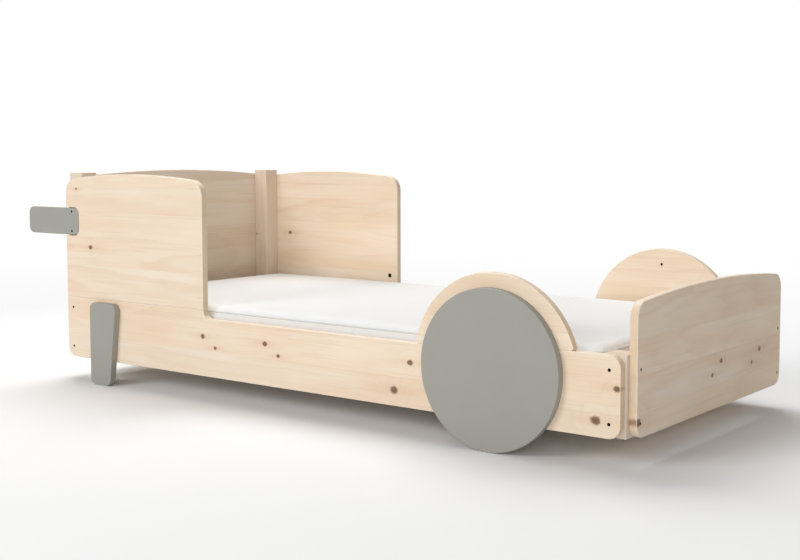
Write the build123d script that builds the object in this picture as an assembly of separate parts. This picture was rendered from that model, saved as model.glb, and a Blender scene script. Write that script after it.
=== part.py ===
from build123d import *
import math
import os

# Low child's bed built like a cart: pine side rails on two painted discs and two legs.
# X runs from the head to the foot, Y across and Z up. The origin is on the floor,
# under the middle of the whole bed. Right is the sleeper's right hand, on -Y.

# Mattress
MATTRESS_LENGTH = 1900.0
MATTRESS_WIDTH = 900.0
MATTRESS_HEIGHT = 140.0
MATTRESS_END_GAP = 6.5
MATTRESS_SIDE_GAP = 3.0
MATTRESS_CROWN = 5.0
MATTRESS_WAIST = 3.0
MATTRESS_CORNER = 40.0
MATTRESS_LIFT = 0.3

# Pine boards
BOARD = 22.0
BOARD_EDGE = 3.0
FLOOR_GAP = 74.0
RAIL_HEIGHT = 197.0
RAIL_CORNER = 32.0
ENTRY_DROP = 24.0
ENTRY_END = 470.0

# Posts in the corners
POST = 60.0
POST_PROUD = 4.0
POST_EDGE = 2.0
HEAD_POST_RISE = 401.0

# Head and foot panels
PANEL_SIDE_GAP = 10.5
HEAD_PANEL_RISE = 406.5
FOOT_PANEL_RISE = 141.5
PANEL_ARCH = 21.5
PANEL_TOP_CORNER = 42.0
PANEL_LOW_CORNER = 34.0

# Guards beside the head
GUARD_LENGTH = 641.0
GUARD_RISE = 399.0
GUARD_ARCH = 20.0
GUARD_CORNER = 50.0

# Painted discs and the pine arches over them
PAINTED = 22.0
PAINTED_EDGE = 2.0
DISC_RADIUS = 203.5
DISC_FROM_FOOT = 355.0
ARCH_BAND = 37.5
ARCH_CORNER = 6.0
ARCH_GAP = 1.0

# Painted legs
LEG_HEIGHT = 262.0
LEG_FROM_HEAD = 140.0
LEG_TOP_WIDTH = 126.0
LEG_FOOT_WIDTH = 94.0
LEG_CORNER = 22.0

# Painted handles let into the guards
HANDLE_REACH = 196.0
HANDLE_SEAT = 64.0
HANDLE_HEIGHT = 87.0
HANDLE_RISE = 244.5
HANDLE_CORNER = 22.0
HANDLE_GAP = 2.5
HANDLE_THICK = 14.0

# Connecting bolts with threaded inserts
BOLT_SHANK = 3.0
BOLT_HEAD = 4.2
BOLT_HEAD_HEIGHT = 5.0
BOLT_SUNK = 1.5
BOLT_GRIP = 18.0
BOLT_KEY = 2.2
BOLT_KEY_DEPTH = 2.5
BOLT_FREE = 0.2
BOLT_TIP_FREE = 2.0
BOLT_FROM_END = 29.5
BOLT_FROM_EDGE = 35.0
HANDLE_BOLT_SPACING = 63.0
HEAD_TOP_BOLT_DROP = 60.0
INSERT_RADIUS = 5.0
INSERT_LENGTH = 16.0

# Cam fittings and dowels that hold the guards down
CAM_RADIUS = 7.5
CAM_DEPTH = 13.0
CAM_SUNK = 0.5
CAM_FROM_END = 34.0
CAM_RISE = 29.0
CAM_PIN_RADIUS = 3.5
CAM_PIN_DEPTH = 24.0
CAM_SLOT = 2.4
CAM_SLOT_LENGTH = 11.0
DOWEL_RADIUS = 4.0
DOWEL_LENGTH = 32.0
DOWEL_FREE = 1.0
GUARD_DOWEL_FIRST = 110.0
GUARD_DOWEL_LAST = 560.0
ARCH_DOWEL_OFFSET = 150.0

# Countersunk screws
SCREW_HEAD = 4.2
SCREW_SHANK = 2.0
SCREW_LENGTH = 36.0
SCREW_FREE = 0.15
SCREW_TIP_FREE = 1.0
SCREW_LOW = 76.0
SCREW_HIGH = 150.0
DISC_SCREW_OFFSET = 95.0
ARCH_SCREW_FROM_RIM = 10.0
LEG_SCREW_OFFSET = 26.0

# Slatted base
LEDGER = 30.0
LEDGER_RISE = 14.0
LEDGER_EDGE = 1.5
LEDGER_END_GAP = 5.0
LEDGER_SCREW_LENGTH = 45.0
LEDGER_SCREW_INSET = 120.0
LEDGER_SCREWS = 5
SLAT_COUNT = 14
SLAT_WIDTH = 68.0
SLAT_THICK = 18.0
SLAT_EDGE = 3.0
SLAT_SIDE_GAP = 3.0
SLAT_END_GAP = 12.0

# Lengths and heights worked out from the sizes above
INNER_WIDTH = MATTRESS_WIDTH + 2 * MATTRESS_SIDE_GAP
INNER_Y = INNER_WIDTH / 2
OUTER_Y = INNER_Y + BOARD
BAY_LENGTH = MATTRESS_LENGTH + 2 * MATTRESS_END_GAP
RAIL_LENGTH = BAY_LENGTH + 2 * POST - 2 * POST_PROUD
FOOT_REACH = RAIL_LENGTH + POST_PROUD + BOARD
HEAD_X = -(FOOT_REACH - HANDLE_REACH) / 2
FOOT_X = HEAD_X + RAIL_LENGTH
HEAD_FACE_X = HEAD_X - POST_PROUD
FOOT_FACE_X = FOOT_X + POST_PROUD
RAIL_TOP = FLOOR_GAP + RAIL_HEIGHT
ENTRY_TOP = RAIL_TOP - ENTRY_DROP
DISC_X = FOOT_X - DISC_FROM_FOOT
ARCH_RADIUS = DISC_RADIUS + ARCH_BAND
STEP_X = FOOT_X - ENTRY_END
PANEL_Y = INNER_Y - PANEL_SIDE_GAP
HANDLE_Z = RAIL_TOP + HANDLE_RISE
LEDGER_TOP = FLOOR_GAP + LEDGER_RISE + LEDGER
SLAT_TOP = LEDGER_TOP + SLAT_THICK
BOLT_HEIGHTS = (FLOOR_GAP + BOLT_FROM_EDGE, RAIL_TOP - BOLT_FROM_EDGE)
HANDLE_BOLT_HEIGHTS = (
    HANDLE_Z - HANDLE_BOLT_SPACING / 2,
    HANDLE_Z + HANDLE_BOLT_SPACING / 2,
)
HEAD_TOP_BOLT_Z = RAIL_TOP + HEAD_POST_RISE - HEAD_TOP_BOLT_DROP
POST_Y = INNER_Y - POST / 2
SIDES = {"right": -1, "left": 1}
NEAR = 0.001
OVERLAP = 1.0


def upright(outline, inner_face, thickness, side):
    """Stand an outline drawn in X and Z up as a board whose inner face is at inner_face."""
    plane = Plane(origin=(0, side * inner_face, 0), x_dir=(1, 0, 0), z_dir=(0, -1, 0))
    return extrude(plane * outline, amount=-side * thickness)


def across(outline, face_x, thickness):
    """Stand an outline drawn in Y and Z up across the bed, growing along X from face_x."""
    return extrude(Plane.YZ.offset(face_x) * outline, amount=thickness)


def ease(board, radius, axis):
    """Round the long arrises of a board on both faces."""
    faces = board.faces().filter_by(axis)
    lowest = faces.sort_by(axis)[0]
    highest = faces.sort_by(axis)[-1]
    return fillet(lowest.outer_wire().edges() + highest.outer_wire().edges(), radius)


def rod(start, direction, length, radius):
    """A round bar from a point, along a direction."""
    return extrude(Plane(origin=start, z_dir=direction) * Circle(radius), amount=length)


def rail_outline():
    """Side rail: low in the middle for climbing in, full height under guard and arch."""
    step_head = HEAD_X + GUARD_LENGTH
    drop = ENTRY_DROP
    with BuildLine() as path:
        Line((HEAD_X, FLOOR_GAP), (FOOT_X, FLOOR_GAP))
        Line((FOOT_X, FLOOR_GAP), (FOOT_X, RAIL_TOP))
        Line((FOOT_X, RAIL_TOP), (STEP_X, RAIL_TOP))
        CenterArc((STEP_X - drop, RAIL_TOP), drop, 270, 90)
        Line((STEP_X - drop, ENTRY_TOP), (step_head + drop, ENTRY_TOP))
        CenterArc((step_head + drop, RAIL_TOP), drop, 180, 90)
        Line((step_head, RAIL_TOP), (HEAD_X, RAIL_TOP))
        Line((HEAD_X, RAIL_TOP), (HEAD_X, FLOOR_GAP))
    face = make_face(path.line)
    square = (HEAD_X, RAIL_TOP)
    corners = [
        v
        for v in face.vertices()
        if min(abs(v.X - HEAD_X), abs(v.X - FOOT_X)) < NEAR
        and math.dist((v.X, v.Y), square) > NEAR
    ]
    return fillet(corners, RAIL_CORNER)


def guard_outline():
    """Head guard: square at the bottom and arched on top."""
    end = HEAD_X + GUARD_LENGTH
    top = RAIL_TOP + GUARD_RISE
    shoulder = top - GUARD_ARCH
    with BuildLine() as path:
        Line((HEAD_X, RAIL_TOP), (end, RAIL_TOP))
        Line((end, RAIL_TOP), (end, shoulder))
        ThreePointArc((end, shoulder), ((HEAD_X + end) / 2, top), (HEAD_X, shoulder))
        Line((HEAD_X, shoulder), (HEAD_X, RAIL_TOP))
    face = make_face(path.line)
    return fillet(face.vertices().filter_by(lambda v: v.Y > RAIL_TOP + NEAR), GUARD_CORNER)


def handle_pocket(side):
    """Pocket in a guard's outer face that a handle lies in, a little larger all round."""
    outline = Pos(HEAD_X, HANDLE_Z) * RectangleRounded(
        2 * (HANDLE_SEAT + HANDLE_GAP),
        HANDLE_HEIGHT + 2 * HANDLE_GAP,
        HANDLE_CORNER + HANDLE_GAP,
    )
    return upright(outline, OUTER_Y - HANDLE_THICK, HANDLE_THICK, side)


def arch_outline():
    """Pine arch over the disc: part of a round whose foot steps down into the rail."""
    rim = Pos(DISC_X, DISC_RADIUS) * Circle(ARCH_RADIUS)
    span = 2 * ARCH_RADIUS
    upper = Pos(DISC_X, RAIL_TOP + span / 2) * Rectangle(span, span)
    low_left = DISC_X - ARCH_RADIUS
    step = STEP_X - ARCH_GAP
    with BuildLine() as path:
        Line((low_left, ENTRY_TOP), (step - ENTRY_DROP, ENTRY_TOP))
        CenterArc((step - ENTRY_DROP, RAIL_TOP), ENTRY_DROP, 270, 90)
        Line((step, RAIL_TOP), (low_left, RAIL_TOP))
        Line((low_left, RAIL_TOP), (low_left, ENTRY_TOP))
    tongue = make_face(path.line)
    face = (rim & upper) + (rim & tongue)
    ends = (
        face.vertices().sort_by(Axis.X)[0],
        face.vertices().sort_by(Axis.X)[-1],
    )
    return fillet(ends, ARCH_CORNER)


def panel_outline(top):
    """Head or foot panel: arched top and rounded lower corners."""
    shoulder = top - PANEL_ARCH
    with BuildLine() as path:
        Line((-PANEL_Y, FLOOR_GAP), (PANEL_Y, FLOOR_GAP))
        Line((PANEL_Y, FLOOR_GAP), (PANEL_Y, shoulder))
        ThreePointArc((PANEL_Y, shoulder), (0, top), (-PANEL_Y, shoulder))
        Line((-PANEL_Y, shoulder), (-PANEL_Y, FLOOR_GAP))
    face = make_face(path.line)
    tops = face.vertices().filter_by(lambda v: v.Y > shoulder - NEAR)
    face = fillet(tops, PANEL_TOP_CORNER)
    lows = face.vertices().filter_by(lambda v: v.Y < FLOOR_GAP + NEAR)
    return fillet(lows, PANEL_LOW_CORNER)


def leg_outline():
    """Leg: upright on the head side, tapering to the floor on the other."""
    x = HEAD_X + LEG_FROM_HEAD
    points = (
        (x, 0),
        (x + LEG_FOOT_WIDTH, 0),
        (x + LEG_TOP_WIDTH, LEG_HEIGHT),
        (x, LEG_HEIGHT),
    )
    face = make_face(Polyline(*points, close=True))
    return fillet(face.vertices(), LEG_CORNER)


def handle_outline():
    """Handle: a round-cornered bar from the pocket in the guard out past the head."""
    length = HANDLE_REACH + HANDLE_SEAT
    middle = HEAD_X + HANDLE_SEAT - length / 2
    return Pos(middle, HANDLE_Z) * RectangleRounded(length, HANDLE_HEIGHT, HANDLE_CORNER)


def bolt_seats(side):
    """Every bolt of one side: name group, point on the outer face, direction inwards."""
    seats = []
    for x in (HEAD_X + BOLT_FROM_END, FOOT_X - BOLT_FROM_END):
        for z in BOLT_HEIGHTS:
            seats.append(("rail", (x, side * OUTER_Y, z), (0, -side, 0)))
    for z in HANDLE_BOLT_HEIGHTS:
        point = (HEAD_X + BOLT_FROM_END, side * OUTER_Y, z)
        seats.append(("handle", point, (0, -side, 0)))
    for z in BOLT_HEIGHTS + (HEAD_TOP_BOLT_Z,):
        seats.append(("head", (HEAD_FACE_X - BOARD, side * POST_Y, z), (1, 0, 0)))
    for z in BOLT_HEIGHTS:
        seats.append(("foot", (FOOT_FACE_X + BOARD, side * POST_Y, z), (-1, 0, 0)))
    return seats


def along(point, direction, distance):
    """The point reached from another by going a distance along a direction."""
    return tuple(p + d * distance for p, d in zip(point, direction))


def bolt(point, direction, board):
    """Socket-headed bolt, its head just under the face of the board."""
    head = rod(along(point, direction, BOLT_SUNK), direction, BOLT_HEAD_HEIGHT, BOLT_HEAD)
    under = BOLT_SUNK + BOLT_HEAD_HEIGHT
    shank = rod(
        along(point, direction, under), direction, board - under + BOLT_GRIP, BOLT_SHANK
    )
    plane = Plane(origin=along(point, direction, BOLT_SUNK), z_dir=direction)
    key = extrude(plane * RegularPolygon(BOLT_KEY, 6), amount=BOLT_KEY_DEPTH)
    return head + shank - key


def bolt_bore(point, direction, board):
    """Hole for a bolt through a board: wide for the head, narrow for the shank."""
    wide = BOLT_SUNK + BOLT_HEAD_HEIGHT
    head = rod(point, direction, wide, BOLT_HEAD + BOLT_FREE)
    return head + rod(point, direction, board, BOLT_SHANK + BOLT_FREE)


def insert(point, direction, board):
    """Threaded insert in the post, behind the board that a bolt holds."""
    start = along(point, direction, board)
    outside = rod(start, direction, INSERT_LENGTH, INSERT_RADIUS)
    return outside - rod(start, direction, INSERT_LENGTH, BOLT_SHANK + BOLT_FREE)


def insert_bore(point, direction, board):
    """Blind hole in the post for an insert and the end of its bolt."""
    start = along(point, direction, board)
    wide = rod(start, direction, INSERT_LENGTH + BOLT_FREE, INSERT_RADIUS + BOLT_FREE / 2)
    return wide + rod(start, direction, BOLT_GRIP + BOLT_TIP_FREE, BOLT_SHANK + BOLT_FREE)


def screw(point, direction, length):
    """Countersunk screw with its head level with the face at the point."""
    cone = SCREW_HEAD - SCREW_SHANK
    plane = Plane(origin=point, z_dir=direction)
    head = loft([plane * Circle(SCREW_HEAD), plane.offset(cone) * Circle(SCREW_SHANK)])
    return head + rod(along(point, direction, cone), direction, length - cone, SCREW_SHANK)


def screw_bore(point, direction, length):
    """Countersunk hole for a screw."""
    wide = SCREW_HEAD + SCREW_FREE
    narrow = SCREW_SHANK + SCREW_FREE
    plane = Plane(origin=point, z_dir=direction)
    cone = loft([plane * Circle(wide), plane.offset(wide - narrow) * Circle(narrow)])
    return cone + rod(point, direction, length + SCREW_TIP_FREE, narrow)


def dowel_places(side):
    """Each dowel of one side: middle point, direction, and the two nodes it joins."""
    name = "right" if side < 0 else "left"
    middle = side * (INNER_Y + BOARD / 2)
    places = []
    for x in (HEAD_X + GUARD_DOWEL_FIRST, HEAD_X + GUARD_DOWEL_LAST):
        places.append(((x, middle, RAIL_TOP), (0, 0, 1), f"{name}_head_guard"))
    x = DISC_X + ARCH_DOWEL_OFFSET
    places.append(((x, middle, RAIL_TOP), (0, 0, 1), f"{name}_wheel_arch"))
    x = DISC_X - ARCH_DOWEL_OFFSET
    places.append(((x, middle, ENTRY_TOP), (0, 0, 1), f"{name}_wheel_arch"))
    return places


def dowel(middle, direction, length, radius):
    """A plain dowel, or its hole, centred on the joint that it crosses."""
    return rod(along(middle, direction, -length / 2), direction, length, radius)


def cam_place(side):
    """Centre of the cam on the guard's inner face."""
    return (HEAD_X + GUARD_LENGTH - CAM_FROM_END, side * INNER_Y, RAIL_TOP + CAM_RISE)


def cam(side):
    """Cam disc let into the guard, with a cross slot for the driver."""
    point = cam_place(side)
    outward = (0, side, 0)
    start = along(point, outward, CAM_SUNK)
    body = rod(start, outward, CAM_DEPTH - CAM_SUNK, CAM_RADIUS)
    face = Plane(origin=start, z_dir=outward)
    cross = Rectangle(CAM_SLOT_LENGTH, CAM_SLOT) + Rectangle(CAM_SLOT, CAM_SLOT_LENGTH)
    return body - extrude(face * cross, amount=CAM_SLOT)


def cam_pin(side):
    """Steel pin that stands in the rail's top and is gripped by the cam."""
    x, _, z = cam_place(side)
    start = (x, side * (INNER_Y + BOARD / 2), RAIL_TOP - CAM_PIN_DEPTH)
    length = z - CAM_RADIUS - BOLT_FREE - start[2]
    return rod(start, (0, 0, 1), length, CAM_PIN_RADIUS)


def disc_screws(side):
    """Screws that hold a disc, driven from inside the bed."""
    inner = side * INNER_Y
    places = []
    for dx in (-DISC_SCREW_OFFSET, DISC_SCREW_OFFSET):
        for dz in (SCREW_LOW, SCREW_HIGH):
            places.append((DISC_X + dx, inner, FLOOR_GAP + dz))
    places.append((DISC_X, inner, 2 * DISC_RADIUS - ARCH_SCREW_FROM_RIM))
    return [(place, (0, side, 0)) for place in places]


def leg_screws(side):
    """Screws that hold a leg, driven from inside the bed."""
    middle = HEAD_X + LEG_FROM_HEAD + (LEG_TOP_WIDTH + LEG_FOOT_WIDTH) / 4
    places = []
    for dx in (-LEG_SCREW_OFFSET, LEG_SCREW_OFFSET):
        for dz in (SCREW_LOW, SCREW_HIGH):
            places.append((middle + dx, side * INNER_Y, FLOOR_GAP + dz))
    return [(place, (0, side, 0)) for place in places]


def ledger_screws(side):
    """Screws that hold a ledger to its rail."""
    first = HEAD_FACE_X + POST + LEDGER_SCREW_INSET
    last = FOOT_FACE_X - POST - LEDGER_SCREW_INSET
    z = LEDGER_TOP - LEDGER / 2
    pitch = (last - first) / (LEDGER_SCREWS - 1)
    y = side * (INNER_Y - LEDGER)
    return [((first + n * pitch, y, z), (0, side, 0)) for n in range(LEDGER_SCREWS)]


def cut(board, tools):
    """Take each tool out of a board."""
    for tool in tools:
        board = board - tool
    return board


def side_rail(side):
    board = ease(upright(rail_outline(), INNER_Y, BOARD, side), BOARD_EDGE, Axis.Y)
    tools = [bolt_bore(p, d, BOARD) for g, p, d in bolt_seats(side) if g == "rail"]
    for place, way, _ in dowel_places(side):
        tools.append(dowel(place, way, DOWEL_LENGTH + DOWEL_FREE, DOWEL_RADIUS + BOLT_FREE / 2))
    x, y, _ = cam_place(side)
    pin = (x, y + side * BOARD / 2, RAIL_TOP)
    tools.append(rod(pin, (0, 0, -1), CAM_PIN_DEPTH + BOLT_FREE, CAM_PIN_RADIUS + BOLT_FREE / 2))
    for place, way in disc_screws(side) + leg_screws(side):
        if place[2] < RAIL_TOP:
            tools.append(screw_bore(place, way, BOARD))
    for place, way in ledger_screws(side):
        start = along(place, way, LEDGER)
        reach = LEDGER_SCREW_LENGTH - LEDGER + SCREW_TIP_FREE
        tools.append(rod(start, way, reach, SCREW_SHANK + SCREW_FREE))
    return cut(board, tools)


def head_guard(side):
    board = ease(upright(guard_outline(), INNER_Y, BOARD, side), BOARD_EDGE, Axis.Y)
    tools = [handle_pocket(side)]
    tools += [bolt_bore(p, d, BOARD) for g, p, d in bolt_seats(side) if g == "handle"]
    x, y, z = cam_place(side)
    tools.append(rod((x, y, z), (0, side, 0), CAM_DEPTH + BOLT_FREE, CAM_RADIUS + BOLT_FREE))
    tools.append(
        rod((x, y + side * BOARD / 2, RAIL_TOP), (0, 0, 1), CAM_RISE, CAM_PIN_RADIUS + BOLT_FREE / 2)
    )
    for place, way, node in dowel_places(side):
        if node.endswith("head_guard"):
            tools.append(
                dowel(place, way, DOWEL_LENGTH + DOWEL_FREE, DOWEL_RADIUS + BOLT_FREE / 2)
            )
    return cut(board, tools)


def wheel_arch(side):
    board = ease(upright(arch_outline(), INNER_Y, BOARD, side), BOARD_EDGE, Axis.Y)
    tools = []
    for place, way, node in dowel_places(side):
        if node.endswith("wheel_arch"):
            tools.append(
                dowel(place, way, DOWEL_LENGTH + DOWEL_FREE, DOWEL_RADIUS + BOLT_FREE / 2)
            )
    place, way = disc_screws(side)[-1]
    tools.append(screw_bore(place, way, BOARD))
    return cut(board, tools)


def painted_bores(side, places):
    """Blind holes that screws from inside leave in a painted board."""
    reach = SCREW_LENGTH - BOARD + SCREW_TIP_FREE
    narrow = SCREW_SHANK + SCREW_FREE
    return [rod(along(p, way, BOARD), way, reach, narrow) for p, way in places]


def disc(side):
    outline = Pos(DISC_X, DISC_RADIUS) * Circle(DISC_RADIUS)
    board = ease(upright(outline, OUTER_Y, PAINTED, side), PAINTED_EDGE, Axis.Y)
    return cut(board, painted_bores(side, disc_screws(side)))


def leg(side):
    board = ease(upright(leg_outline(), OUTER_Y, PAINTED, side), PAINTED_EDGE, Axis.Y)
    return cut(board, painted_bores(side, leg_screws(side)))


def handle(side):
    outline = handle_outline()
    board = ease(
        upright(outline, OUTER_Y - HANDLE_THICK, HANDLE_THICK, side), PAINTED_EDGE, Axis.Y
    )
    return cut(board, [bolt_bore(p, d, BOARD) for g, p, d in bolt_seats(side) if g == "handle"])


def end_panel(end):
    top = RAIL_TOP + (HEAD_PANEL_RISE if end == "head" else FOOT_PANEL_RISE)
    face_x = HEAD_FACE_X - BOARD if end == "head" else FOOT_FACE_X
    board = ease(across(panel_outline(top), face_x, BOARD), BOARD_EDGE, Axis.X)
    tools = []
    for side in SIDES.values():
        tools += [bolt_bore(p, d, BOARD) for g, p, d in bolt_seats(side) if g == end]
    return cut(board, tools)


def post(end, side):
    top = RAIL_TOP + (HEAD_POST_RISE if end == "head" else 0)
    height = top - FLOOR_GAP
    x = HEAD_FACE_X + POST / 2 if end == "head" else FOOT_FACE_X - POST / 2
    body = Pos(x, side * POST_Y, FLOOR_GAP + height / 2) * Box(POST, POST, height)
    body = fillet(body.edges().filter_by(Axis.Z), POST_EDGE)
    tools = []
    for group, point, way in bolt_seats(side):
        if abs(point[0] - x) < POST and (group != "handle" or end == "head"):
            tools.append(insert_bore(point, way, BOARD))
    return cut(body, tools)


def ledger(side):
    length = BAY_LENGTH - 2 * LEDGER_END_GAP
    x = (HEAD_FACE_X + FOOT_FACE_X) / 2
    bar = Pos(x, side * (INNER_Y - LEDGER / 2), LEDGER_TOP - LEDGER / 2)
    body = bar * Box(length, LEDGER, LEDGER)
    body = chamfer(body.edges().filter_by(Axis.X), LEDGER_EDGE)
    return cut(body, [screw_bore(p, way, LEDGER) for p, way in ledger_screws(side)])


def slat(number):
    first = HEAD_FACE_X + POST + SLAT_END_GAP + SLAT_WIDTH / 2
    last = FOOT_FACE_X - POST - SLAT_END_GAP - SLAT_WIDTH / 2
    x = first + (last - first) * number / (SLAT_COUNT - 1)
    bar = Box(SLAT_WIDTH, INNER_WIDTH - 2 * SLAT_SIDE_GAP, SLAT_THICK)
    bar = fillet(bar.edges().filter_by(Axis.Y), SLAT_EDGE)
    return Pos(x, 0, SLAT_TOP - SLAT_THICK / 2) * bar


def bowed(length, width, bow, corner):
    """Rounded rectangle whose four sides draw in towards the middle by the bow."""
    a = length / 2
    b = width / 2
    path = [
        ThreePointArc((-a, -b), (0, bow - b), (a, -b)),
        ThreePointArc((a, -b), (a - bow, 0), (a, b)),
        ThreePointArc((a, b), (0, b - bow), (-a, b)),
        ThreePointArc((-a, b), (bow - a, 0), (-a, -b)),
    ]
    face = make_face(path)
    return fillet(face.vertices(), corner)


def mattress():
    """Mattress: crowned on top, flat below, its sides drawn in between the corners."""
    bottom = SLAT_TOP + MATTRESS_LIFT
    low = bottom - OVERLAP
    rim = bottom + MATTRESS_HEIGHT - MATTRESS_CROWN
    crown = rim + MATTRESS_CROWN
    a = MATTRESS_LENGTH / 2
    b = MATTRESS_WIDTH / 2
    x = (HEAD_FACE_X + FOOT_FACE_X) / 2
    plan = bowed(MATTRESS_LENGTH, MATTRESS_WIDTH, MATTRESS_WAIST, MATTRESS_CORNER)
    block = extrude(Pos(0, 0, bottom) * plan, amount=MATTRESS_HEIGHT)
    with BuildLine() as lengthwise:
        Line((-a, low), (a, low))
        Line((a, low), (a, rim))
        ThreePointArc((a, rim), (0, crown), (-a, rim))
        Line((-a, rim), (-a, low))
    with BuildLine() as crosswise:
        Line((-b, low), (b, low))
        Line((b, low), (b, rim))
        ThreePointArc((b, rim), (0, crown), (-b, rim))
        Line((-b, rim), (-b, low))
    long_crown = extrude(Plane.XZ * make_face(lengthwise.line), amount=b, both=True)
    cross_crown = extrude(Plane.YZ * make_face(crosswise.line), amount=a, both=True)
    body = block & long_crown & cross_crown
    return Pos(x, 0, 0) * body


def group(name, solids):
    """A node made of many separate solids of one kind."""
    return Compound(label=name, children=[s if isinstance(s, Solid) else s.solid() for s in solids])


def build():
    nodes = {}
    for name, side in SIDES.items():
        nodes[f"{name}_side_rail"] = side_rail(side)
        nodes[f"{name}_head_guard"] = head_guard(side)
        nodes[f"{name}_wheel_arch"] = wheel_arch(side)
        nodes[f"{name}_wheel_disc"] = disc(side)
        nodes[f"{name}_leg"] = leg(side)
        nodes[f"{name}_handle"] = handle(side)
        nodes[f"{name}_slat_ledger"] = ledger(side)
        nodes[f"{name}_head_post"] = post("head", side)
        nodes[f"{name}_foot_post"] = post("foot", side)
    nodes["head_panel"] = end_panel("head")
    nodes["foot_panel"] = end_panel("foot")
    for number in range(SLAT_COUNT):
        nodes[f"bed_slat_{number + 1:02d}"] = slat(number)
    nodes["mattress"] = mattress()

    seats = [seat for side in SIDES.values() for seat in bolt_seats(side)]
    for kind, names in (("rail", "rail_bolts"), ("handle", "handle_bolts")):
        nodes[names] = group(names, [bolt(p, d, BOARD) for g, p, d in seats if g == kind])
    ends = [bolt(p, d, BOARD) for g, p, d in seats if g in ("head", "foot")]
    nodes["panel_bolts"] = group("panel_bolts", ends)
    inserts = [insert(p, d, BOARD) for _, p, d in seats]
    nodes["post_inserts"] = group("post_inserts", inserts)
    both = SIDES.values()
    dowels = [dowel(p, w, DOWEL_LENGTH, DOWEL_RADIUS) for s in both for p, w, _ in dowel_places(s)]
    nodes["joint_dowels"] = group("joint_dowels", dowels)
    nodes["guard_cams"] = group("guard_cams", [cam(s) for s in both])
    nodes["guard_cam_pins"] = group("guard_cam_pins", [cam_pin(s) for s in both])
    discs = [screw(p, w, SCREW_LENGTH) for s in both for p, w in disc_screws(s)]
    nodes["wheel_disc_screws"] = group("wheel_disc_screws", discs)
    legs = [screw(p, w, SCREW_LENGTH) for s in both for p, w in leg_screws(s)]
    nodes["leg_screws"] = group("leg_screws", legs)
    bars = [screw(p, w, LEDGER_SCREW_LENGTH) for s in both for p, w in ledger_screws(s)]
    nodes["ledger_screws"] = group("ledger_screws", bars)
    return nodes


os.makedirs("parts", exist_ok=True)
for node, shape in build().items():
    shape.label = node
    export_step(shape, f"parts/{node}.step")
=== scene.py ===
import math
import random

import bpy
import bmesh
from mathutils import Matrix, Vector, noise
from mathutils.bvhtree import BVHTree


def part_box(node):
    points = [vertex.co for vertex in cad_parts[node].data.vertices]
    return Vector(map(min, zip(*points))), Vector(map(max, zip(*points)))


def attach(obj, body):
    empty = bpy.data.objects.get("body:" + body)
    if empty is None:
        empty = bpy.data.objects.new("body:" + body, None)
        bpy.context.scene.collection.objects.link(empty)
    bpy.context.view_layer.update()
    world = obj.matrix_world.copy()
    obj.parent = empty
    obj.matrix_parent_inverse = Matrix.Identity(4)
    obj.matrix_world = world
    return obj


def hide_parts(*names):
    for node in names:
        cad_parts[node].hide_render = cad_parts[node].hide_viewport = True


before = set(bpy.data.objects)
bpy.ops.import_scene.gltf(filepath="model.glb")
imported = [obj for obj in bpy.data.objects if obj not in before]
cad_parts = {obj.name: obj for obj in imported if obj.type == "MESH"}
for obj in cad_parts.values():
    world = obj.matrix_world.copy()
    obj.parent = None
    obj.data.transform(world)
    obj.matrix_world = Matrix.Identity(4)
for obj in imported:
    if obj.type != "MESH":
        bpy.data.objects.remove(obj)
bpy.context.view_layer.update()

# Axes of the frame: X from head to foot, Y across, Z up.
LENGTHWISE, CROSSWISE, UPRIGHT = 0, 1, 2
# No painted shade: the wood keeps its own colour
NO_PAINTED_SHADE = (1.0, 1.0, 1.0)
SLAT_COUNT = 14
FULL_TURN = 6.2832


def linear(red, green, blue):
    """A colour as it looks on a screen, 0 to 255, turned into the light that it reflects."""
    channels = []
    for part in (red, green, blue):
        share = part / 255
        low = share / 12.92
        channels.append(low if share <= 0.04045 else ((share + 0.055) / 1.055) ** 2.4)
    return (*channels, 1.0)


# ---- laying nodes ----


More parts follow.
